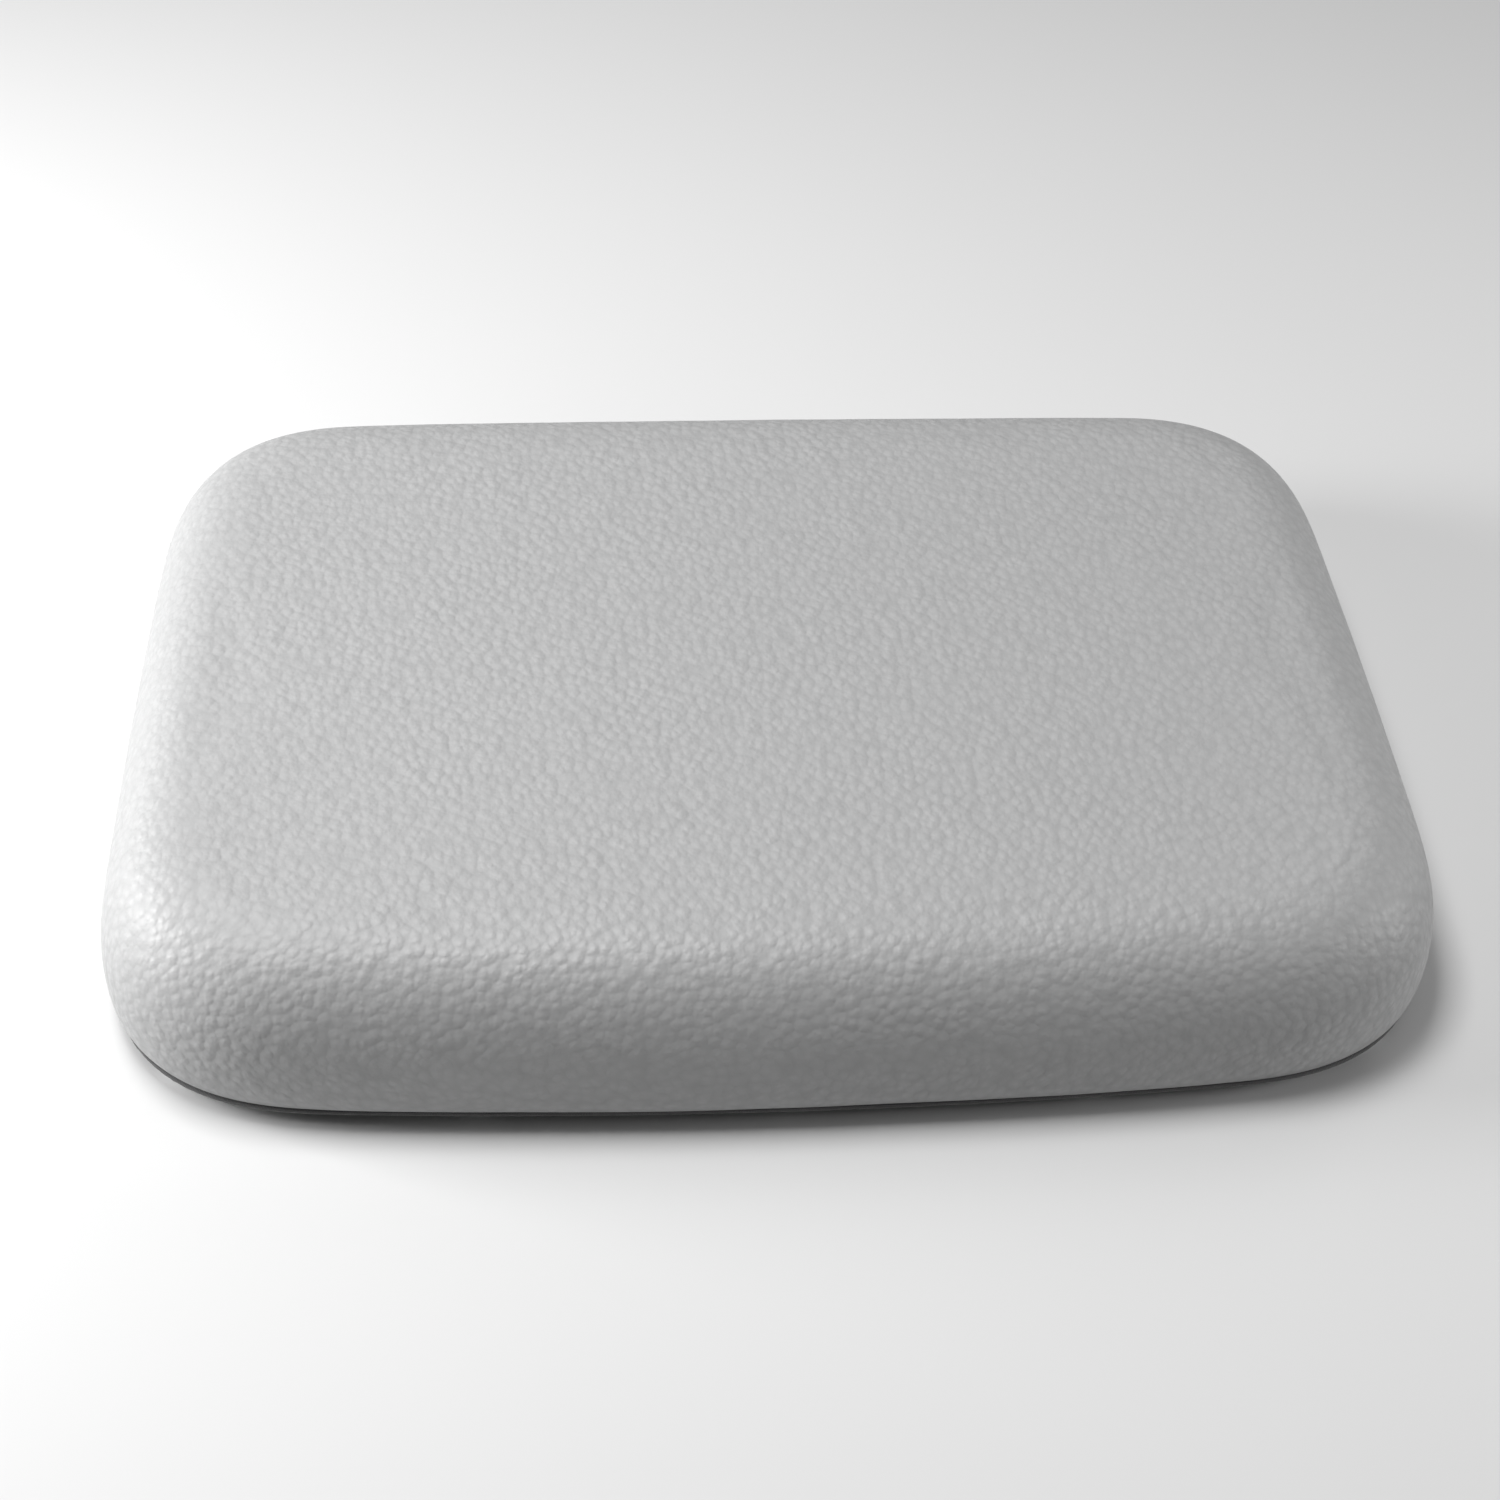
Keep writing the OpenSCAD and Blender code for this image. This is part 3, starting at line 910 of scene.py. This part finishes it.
def layer_solid(name, t, z0, z1):
    """A slab of the form t inside the cover, between two heights, with soft edges where it is cut."""
    floor = BASE_Z + min(t, 2.2 * MM)
    top = TOP_Z - t
    edge = 0.8 * MM
    heights = tuck_profile(t, max(z0, floor), 4, floor) + roll_profile(t, 16, top)
    first, last = side_inset(t, z0, floor, top), side_inset(t, z1, floor, top)
    profile = [(first + 1.6 * edge, z0), (first + 0.5 * edge, z0 + 0.15 * edge), (first, z0 + edge)]
    profile += [p for p in heights if z0 + 1.5 * edge < p[1] < z1 - 1.5 * edge]
    if z1 < top - edge:
        profile += [(last, z1 - edge), (last + 0.5 * edge, z1 - 0.15 * edge), (last + 1.6 * edge, z1)]
    else:
        profile += [(last, z1)]
    verts, faces = form_mesh(profile)
    return make_object(name, verts, faces)


def side_inset(t, z, floor, top):
    if z < BELLY_Z:
        return tuck_inset(t, z, floor)
    share = min(1.0, (z - BELLY_Z) / (top - BELLY_Z))
    return t + (ROLL_IN - t) * (1 - (1 - share ** ROLL_FULLNESS) ** (1 / ROLL_FULLNESS))


def cut_channel(obj):
    """Takes the room behind the zip out of a piece of the filling."""
    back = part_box("zip_slider")[0].y - 1.2 * MM
    half_l = WINDOW_HALF_L + 20 * MM
    lo, hi = Vector((-half_l, back, -5 * MM)), Vector((half_l, HALF_D + 5 * MM, 36 * MM))
    return cut_away(obj, bevelled_box("channel_cutter", lo, hi, 2 * MM, 3))


def foam_piece(node, t, channel):
    lo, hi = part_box(node)
    block = softened(layer_solid(f"{node}_block", t, lo.z, hi.z), 0.25 * MM)
    if channel:
        flat_where_sharp(cut_channel(block), 50)
    finish_piece(block, "pad", node, MATERIALS[node], node)


def filling():
    foam_t = HALF_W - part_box("support_foam")[1].x
    foam_piece("comfort_foam", foam_t, False)
    foam_piece("support_foam", foam_t, True)
    wadding_piece(foam_t)


def wadding_piece(foam_t):
    lo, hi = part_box("wadding_layer")
    t = HALF_W - hi.x
    thickness = foam_t - t - 0.3 * MM
    floor = BASE_Z + 2.2 * MM
    profile = tuck_profile(t, lo.z, 4, floor) + roll_profile(t, 16, hi.z)
    verts, faces = form_mesh(profile, cap_bottom=False)
    wadding = make_object("wadding_wrap", verts, faces)
    softened(wadding, 0.2 * MM)
    modifier(wadding, "SOLIDIFY", thickness=thickness, offset=-1, use_even_offset=True)
    apply_modifiers(wadding)
    cut_channel(wadding)
    flat_where_sharp(wadding, 50)
    finish_piece(wadding, "pad", "wadding", MATERIALS["wadding"], "wadding_layer")


# ---------- zip ----------

def tooth_shape():
    """One moulded tooth about the origin, its head towards -z: points of a half outline in (x, z)."""
    return [(0.45, 1.1), (0.62, 0.55), (0.62, 0.1), (0.40, -0.15), (0.40, -0.45), (0.74, -0.75),
            (0.80, -1.15), (0.62, -1.5), (0.25, -1.62)]


def teeth_piece(name, node, side):
    """A row of moulded teeth whose heads reach between those of the other row."""
    lo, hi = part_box(node)
    thick = hi.y - lo.y
    row = tooth_centres(node)
    half = [(x * MM, z * MM) for x, z in tooth_shape()]
    outline = half + [(-x, z) for x, z in reversed(half)]
    reach = 0.25 * MM
    bm = bmesh.new()
    for x0 in row:
        z0 = (lo.z + hi.z) / 2 - side * reach
        layers = []
        for share, grow in ((-0.5, 0.80), (-0.36, 1.0), (0.36, 1.0), (0.5, 0.80)):
            layers.append([bm.verts.new((x0 + x * grow, ZIP_Y + thick * share, z0 + side * z * grow))
                           for x, z in outline])
        join_rings(bm, layers)
    bmesh.ops.recalc_face_normals(bm, faces=bm.faces)
    teeth = flat_where_sharp(from_bmesh(name, bm), 30)
    return finish_piece(teeth, "pad", "zip_teeth", MATERIALS["teeth"], node)


def tooth_centres(node):
    """Middles of the CAD teeth along x."""
    xs = sorted({round(v.co.x, 5) for v in frame["nodes"][node].data.vertices})
    centres, start = [], xs[0]
    for a, b in zip(xs, xs[1:] + [xs[-1] + 1]):
        if b - a > 1.2 * MM and a - start > 1.0 * MM:
            centres.append((start + a) / 2)
            start = b
    return centres


def tape_piece(name, node, side):
    """A woven tape: a thin band with a thicker bead along the teeth and a faint ripple."""
    lo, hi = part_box(node)
    edge = lo.z if side > 0 else hi.z
    far = hi.z if side > 0 else lo.z
    length_cells, width_cells = 180, 14
    half_t = (hi.y - lo.y) / 2
    verts, faces = [], []
    for front in (1, -1):
        for i in range(length_cells + 1):
            x = lo.x + (hi.x - lo.x) * i / length_cells
            for j in range(width_cells + 1):
                u = j / width_cells
                bead = 1.0 + 0.9 * math.exp(-(u / 0.05) ** 2)
                ripple = 0.12 * MM * math.sin(i * 0.9) + 0.25 * MM * noise.noise(Vector((x * 50, u, 0)))
                thin = 0.75 if j in (0, width_cells) else 1.0
                y = ZIP_Y + front * half_t * bead * thin + u * ripple
                verts.append(Vector((x, y, edge + (far - edge) * u)))
    n = (length_cells + 1) * (width_cells + 1)
    w = width_cells + 1
    for i in range(length_cells):
        for j in range(width_cells):
            a = i * w + j
            faces.append((a, a + 1, a + w + 1, a + w))
            faces.append((n + a, n + a + w, n + a + w + 1, n + a + 1))
    rim = ([i * w for i in range(length_cells + 1)]
           + [length_cells * w + j for j in range(1, w)]
           + [i * w + width_cells for i in range(length_cells - 1, -1, -1)]
           + [j for j in range(width_cells - 1, 0, -1)])
    for k in range(len(rim)):
        a, b = rim[k], rim[(k + 1) % len(rim)]
        faces.append((a, b, n + b, n + a))
    tape = fix_normals(make_object(name, verts, faces))
    flat_where_sharp(tape, 50)
    return finish_piece(tape, "pad", "zip_tape", MATERIALS["tape"], node)


def window_hem(cover):
    """The cover's folded edge round the zip opening, as a soft bead, and its row of stitches."""
    bead = closed_tube("window_hem", slot_on_wall(cover, 0.2 * MM, -1.0 * MM, 2.0 * MM), 1.05 * MM,
                       Vector((0, 1, 0)))
    finish_piece(bead, "pad", "cover_leatherette", MATERIALS["cover"])
    line = slot_on_wall(cover, 3.4 * MM, 0.08 * MM, 1.2 * MM)
    row = stitch_row("zip_topstitch", line, lambda p: wall_normal(cover, p), 2.6 * MM, 1.1 * MM, 0.28 * MM)
    finish_piece(row, "pad", "cover_leatherette", MATERIALS["thread"])


def slot_on_wall(cover, margin, rise, pitch):
    """Points at pitch round the zip opening, margin outside its edge and rise off the cover's outside."""
    outline = slot_outline(WINDOW_HALF_L + margin, WINDOW_H / 2 + margin, 14)
    level = resample([Vector((x, 0, ZIP_Z + z)) for x, z in outline], pitch)
    return [Vector((p.x, wall_y(cover, p.x, p.z) + rise, p.z)) for p in level]


def wall_normal(cover, p):
    """Direction in which the back wall faces at p."""
    step = 1.5 * MM
    return Vector((wall_y(cover, p.x - step, p.z) - wall_y(cover, p.x + step, p.z), 2 * step,
                   wall_y(cover, p.x, p.z - step) - wall_y(cover, p.x, p.z + step))).normalized()


def wall_y(cover, x, z):
    """How far back the cover's outside stands at x and height z on the back wall."""
    origin, direction = Vector((x, HALF_D + 20 * MM, z)), Vector((0, -1, 0))
    hit, place, _, _ = cover.ray_cast(origin, direction)
    if hit and place.y > ZIP_Y:
        return place.y
    inset = side_inset(0, z, BASE_Z, TOP_Z)
    return bowed(x, HALF_D - inset)[1]


def extruded(bm, outline, y0, y1, bevel):
    """A solid from an outline in the x-z plane, from depth y0 to y1, its rims drawn in by bevel."""
    middle = sum((Vector((x, 0, z)) for x, z in outline), Vector()) / len(outline)
    layers = []
    for y, pull in ((y0, bevel), (y0 + bevel, 0), (y1 - bevel, 0), (y1, bevel)):
        ring = []
        for x, z in outline:
            p = Vector((x, 0, z))
            inward = (middle - p).normalized() * pull
            ring.append(bm.verts.new((p.x + inward.x, y, p.z + inward.z)))
        layers.append(ring)
    join_rings(bm, layers)


def slider_outline(cx, length, nose, tail):
    """Rounded shield outline of a slider plate, wide at its nose (+x) and narrow at its tail."""
    end = cx - length / 2
    round_r = 0.30 * length
    out = []
    for i in range(13):
        a = math.radians(-90 + 180 * i / 12)
        out.append((cx + length / 2 - round_r + round_r * math.cos(a), nose / 2 * math.sin(a)))
    flank = [(cx - 0.05 * length, nose * 0.46), (cx - 0.25 * length, tail * 0.52), (end + 0.8 * MM, tail / 2),
             (end, tail / 2 - 0.8 * MM)]
    out += flank + [(x, -z) for x, z in reversed(flank)]
    return [(x, ZIP_Z + z) for x, z in out]


def slider_piece():
    lo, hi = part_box("zip_slider")
    cx, length, nose = (lo.x + hi.x) / 2, hi.x - lo.x, hi.z - lo.z
    tail = 0.73 * nose
    plate = 1.0 * MM
    pin_lo, pin_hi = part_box("zip_pull_tab")
    pivot_y = (pin_lo.y + pin_hi.y) / 2
    front = pivot_y - 1.0 * MM
    bm = bmesh.new()
    extruded(bm, slider_outline(cx, length, nose, tail), front - plate, front, 0.25 * MM)
    extruded(bm, slider_outline(cx, length, nose, tail), lo.y, lo.y + plate, 0.25 * MM)
    for side in (-1, 1):
        rail = [(0.42, nose * 0.40), (0.05, nose * 0.47), (-0.46, tail * 0.48), (-0.46, tail * 0.36),
                (0.05, nose * 0.36), (0.42, nose * 0.30)]
        rail = [(cx + length * x, ZIP_Z + side * z) for x, z in rail]
        if side < 0:
            rail = rail[::-1]
        extruded(bm, rail, front - plate - 0.35 * MM, front - plate + 0.2 * MM, 0.08 * MM)
        extruded(bm, rail, lo.y + plate - 0.2 * MM, lo.y + plate + 0.35 * MM, 0.08 * MM)
    blade = [(cx - 0.22 * length, ZIP_Z + 0.15 * MM), (cx - 0.22 * length, ZIP_Z - 0.15 * MM),
             (cx + 0.22 * length, ZIP_Z - 0.2 * MM), (cx + 0.22 * length, ZIP_Z + 0.2 * MM)]
    extruded(bm, blade, lo.y + 0.5 * plate, front - 0.5 * plate, 0.05 * MM)
    bmesh.ops.recalc_face_normals(bm, faces=bm.faces)
    body = flat_where_sharp(from_bmesh("zip_slider_body", bm), 35)
    finish_piece(body, "slider", "zip_metal", MATERIALS["metal"], "zip_slider")
    arch = arch_piece(cx, front, hi.y)
    finish_piece(arch, "slider", "zip_metal", MATERIALS["metal"])
    return body


def arch_piece(cx, front, top_y):
    """The slider's bridge: a flat bar bent over the pull tab's pin."""
    half_l, half_w, thick = 2.4 * MM, 1.0 * MM, 0.75 * MM
    rise = top_y - front - thick / 2
    path = [Vector((cx - half_l, front - 0.3 * MM, ZIP_Z))]
    for i in range(13):
        a = math.pi * (1 - i / 12)
        flatness = 2 / 3.2
        path.append(Vector((cx + half_l * power_sign(math.cos(a), flatness),
                            front + rise * abs(math.sin(a)) ** flatness, ZIP_Z)))
    path.append(Vector((cx + half_l, front - 0.3 * MM, ZIP_Z)))
    verts, n = [], len(path)
    section = [(-1, -0.7), (-0.7, -1), (0.7, -1), (1, -0.7), (1, 0.7), (0.7, 1), (-0.7, 1), (-1, 0.7)]
    for i, p in enumerate(path):
        along = (path[min(i + 1, n - 1)] - path[max(i - 1, 0)]).normalized()
        across = Vector((0, 0, 1))
        out = along.cross(across).normalized()
        for u, v in section:
            verts.append(p + across * (u * half_w) + out * (v * thick / 2))
    faces = band_faces(n, len(section), closed=False)
    return flat_where_sharp(fix_normals(make_object("zip_slider_bridge", verts, faces)), 40)


def pull_piece():
    """The pull tab: a flat, waisted plate with a slot for the bridge and an eye, and the pin it swings on."""
    lo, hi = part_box("zip_pull_tab")
    joint = next(j for j in frame["joints"] if j["name"] == "pull_swing")
    pivot = Vector(joint["pos_m"])
    thick = hi.y - lo.y
    end_x = lo.x
    body_w = (hi.z - lo.z) / 2
    bm = bmesh.new()
    outer = []
    shoulder = pivot.x - 4.2 * MM
    for i in range(17):
        a = math.radians(90 + 180 * i / 16)
        outer.append((end_x + body_w + body_w * math.cos(a), body_w * math.sin(a)))
    waist = 0.78
    outer += [(shoulder - 5.0 * MM, -body_w * waist), (shoulder - 1.5 * MM, -body_w * 0.92),
              (shoulder, -body_w * 0.9), (pivot.x - 1.0 * MM, -body_w * 0.82),
              (pivot.x + 0.7 * MM, -body_w * 0.80)]
    outer += [(x, -z) for x, z in outer[:16:-1]]
    outline = [(x, pivot.z + z) for x, z in outer]
    slot = rounded_rect(pivot.x - 2.1 * MM, pivot.z, 6.1 * MM, 3.0 * MM, 0.7 * MM)
    eye = rounded_rect(end_x + body_w + 1.2 * MM, pivot.z, 6.4 * MM, 2.4 * MM, 1.19 * MM)
    plate_with_holes(bm, outline, [slot, eye], pivot.y - thick / 2, pivot.y + thick / 2, 0.18 * MM)
    bmesh.ops.recalc_face_normals(bm, faces=bm.faces)
    tab = flat_where_sharp(from_bmesh("zip_pull_tab_plate", bm), 35)
    finish_piece(tab, "pull", "zip_metal", MATERIALS["metal"], "zip_pull_tab")
    pin_path = [Vector((pivot.x, pivot.y, pivot.z + s * 2.6 * MM)) for s in (-1, -0.33, 0.33, 1)]
    pin = pin_mesh("zip_pull_pin", pin_path, 0.6 * MM)
    finish_piece(pin, "pull", "zip_metal", MATERIALS["metal"])


def pin_mesh(name, path, radius, sides=14):
    verts = []
    for p in path:
        for k in range(sides):
            a = 2 * math.pi * k / sides
            verts.append(p + Vector((radius * math.cos(a), radius * math.sin(a), 0)))
    faces = band_faces(len(path), sides, closed=False)
    return flat_where_sharp(fix_normals(make_object(name, verts, faces)), 40)


def rounded_rect(cx, cz, w, h, r, steps=6):
    out = []
    for sx, sz, start in ((1, 1, 0), (-1, 1, 90), (-1, -1, 180), (1, -1, 270)):
        for i in range(steps + 1):
            a = math.radians(start + 90 * i / steps)
            out.append((cx + sx * (w / 2 - r) + r * math.cos(a), cz + sz * (h / 2 - r) + r * math.sin(a)))
    return out


def plate_with_holes(bm, outline, holes, y0, y1, bevel):
    """A flat plate in the x-z plane with holes: filled by triangulation, then given thickness."""
    loops = [outline] + holes
    edges = []
    for loop in loops:
        vs = [bm.verts.new((x, y0, z)) for x, z in loop]
        edges += [bm.edges.new((vs[i], vs[(i + 1) % len(vs)])) for i in range(len(vs))]
    bmesh.ops.triangle_fill(bm, edges=edges, use_beauty=True, use_dissolve=False)
    made = bmesh.ops.extrude_face_region(bm, geom=bm.faces[:])
    for v in (g for g in made["geom"] if isinstance(g, bmesh.types.BMVert)):
        v.co.y = y1
    bmesh.ops.recalc_face_normals(bm, faces=bm.faces)
    rim = [e for e in bm.edges if len(e.link_faces) == 2 and e.calc_face_angle(0) > 1.2]
    bmesh.ops.bevel(bm, geom=rim, offset=bevel, segments=2, profile=0.5, affect="EDGES", clamp_overlap=True)


def small_zip_pieces():
    for name in ("upper", "lower"):
        lo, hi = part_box(f"zip_facing_{name}")
        hi = Vector((hi.x, min(hi.y, lo.y + 1.0 * MM), hi.z))
        strip = bevelled_box(f"facing_strip_{name}", lo, hi, 0.3 * MM, 2, (60, 1, 3), 0.15 * MM)
        finish_piece(strip, "pad", "facing_fabric", MATERIALS["facing"], f"zip_facing_{name}")
    for name in ("left", "right"):
        lo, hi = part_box(f"zip_end_patch_{name}")
        patch = bevelled_box(f"end_patch_{name}", lo, hi, 0.35 * MM, 3, (8, 1, 6), 0.12 * MM)
        finish_piece(patch, "pad", "facing_fabric", MATERIALS["facing"], f"zip_end_patch_{name}")
    lo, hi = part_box("zip_top_stops")
    for side, name in ((1, "upper"), (-1, "lower")):
        z0, z1 = sorted((ZIP_Z + side * 0.5 * MM, ZIP_Z + side * (hi.z - ZIP_Z)))
        low, high = Vector((lo.x, lo.y, z0)), Vector((hi.x, hi.y, z1))
        clip = bevelled_box(f"top_stop_{name}", low, high, 0.45 * MM, 3)
        finish_piece(clip, "pad", "zip_metal", MATERIALS["metal"], "zip_top_stops")
    lo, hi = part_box("zip_bottom_stop")
    clip = bevelled_box("bottom_stop_box", lo, hi, 0.5 * MM, 3)
    finish_piece(clip, "pad", "zip_metal", MATERIALS["metal"], "zip_bottom_stop")


# ---------- studio ----------

FOCAL_MM = 52.8
SENSOR_MM = 36.0
CAMERA_FAR = 0.772
CAMERA_AZIMUTH = math.radians(-5.6)
CAMERA_ELEVATION = math.radians(46.05)
CAMERA_ROLL = math.radians(2.93)
SHIFT_X = -0.0089
SHIFT_Y = -0.0249


def photo_camera():
    data = bpy.data.cameras.new("camera")
    data.lens = FOCAL_MM
    data.sensor_width = SENSOR_MM
    data.shift_x = SHIFT_X
    data.shift_y = SHIFT_Y
    data.clip_start = 0.01
    camera = bpy.data.objects.new("camera", data)
    bpy.context.scene.collection.objects.link(camera)
    back = Vector((math.sin(CAMERA_AZIMUTH) * math.cos(CAMERA_ELEVATION),
                   -math.cos(CAMERA_AZIMUTH) * math.cos(CAMERA_ELEVATION), math.sin(CAMERA_ELEVATION)))
    right = Vector((math.cos(CAMERA_AZIMUTH), math.sin(CAMERA_AZIMUTH), 0))
    up = back.cross(right)
    turned_right = right * math.cos(CAMERA_ROLL) + up * math.sin(CAMERA_ROLL)
    turned_up = -right * math.sin(CAMERA_ROLL) + up * math.cos(CAMERA_ROLL)
    place = Vector((0, 0, BASE_Z + HEIGHT / 2)) + back * CAMERA_FAR
    turn = Matrix((turned_right, turned_up, back)).transposed().to_4x4()
    camera.matrix_world = Matrix.Translation(place) @ turn
    bpy.context.scene.camera = camera


def area_light(name, place, target, size, power):
    data = bpy.data.lights.new(name, "AREA")
    data.shape = "RECTANGLE"
    data.size, data.size_y = size
    data.energy = power
    light = bpy.data.objects.new(name, data)
    bpy.context.scene.collection.objects.link(light)
    light.location = place
    light.rotation_euler = (Vector(target) - Vector(place)).to_track_quat("-Z", "Y").to_euler()


def studio():
    corners = [(-6, -6, 0), (6, -6, 0), (6, 6, 0), (-6, 6, 0)]
    floor = make_object("floor", corners, [(0, 1, 2, 3)], smooth=False)
    m, tree, bsdf = new_material("pale_floor", (0.67, 0.67, 0.67), 0.9, Specular_IOR_Level=0.2)
    grit = noise_texture(tree, object_coordinates(tree), 400 * MM, 2.0)
    paint(tree, bsdf, grit, (0.66, 0.66, 0.66), (0.68, 0.68, 0.68))
    floor.data.materials.append(m)
    area_light("overhead", (-0.30, 0.10, 1.30), (0, 0, 0), (0.5, 0.4), 13.1)
    area_light("left", (-0.95, 0.05, 0.38), (-0.2, -0.03, 0.03), (0.4, 0.4), 11)
    area_light("right", (1.2, -0.20, 0.40), (0.15, -0.05, 0.03), (0.35, 0.35), 4.8)
    area_light("far_right", (1.3, 1.3, 1.3), (0.75, 0.7, 0), (0.9, 0.9), 4)
    world = bpy.data.worlds.new("world")
    world.use_nodes = True
    world.node_tree.nodes["Background"].inputs["Color"].default_value = (1, 1, 1, 1)
    world.node_tree.nodes["Background"].inputs["Strength"].default_value = 0.09
    bpy.context.scene.world = world
    bpy.context.scene.view_settings.view_transform = "Standard"


# ---------- build ----------

photo_camera()
studio()
cover = cover_piece()
binding_piece()
base_piece()
feet_piece()
base_stitches()
filling()
for row, side in (("upper", 1), ("lower", -1)):
    teeth_piece(f"zip_teeth_row_{row}", f"zip_teeth_{row}", side)
for row, side in (("upper", 1), ("lower", -1)):
    tape_piece(f"zip_tape_band_{row}", f"zip_tape_{row}", side)
window_hem(cover)
small_zip_pieces()
slider_piece()
pull_piece()
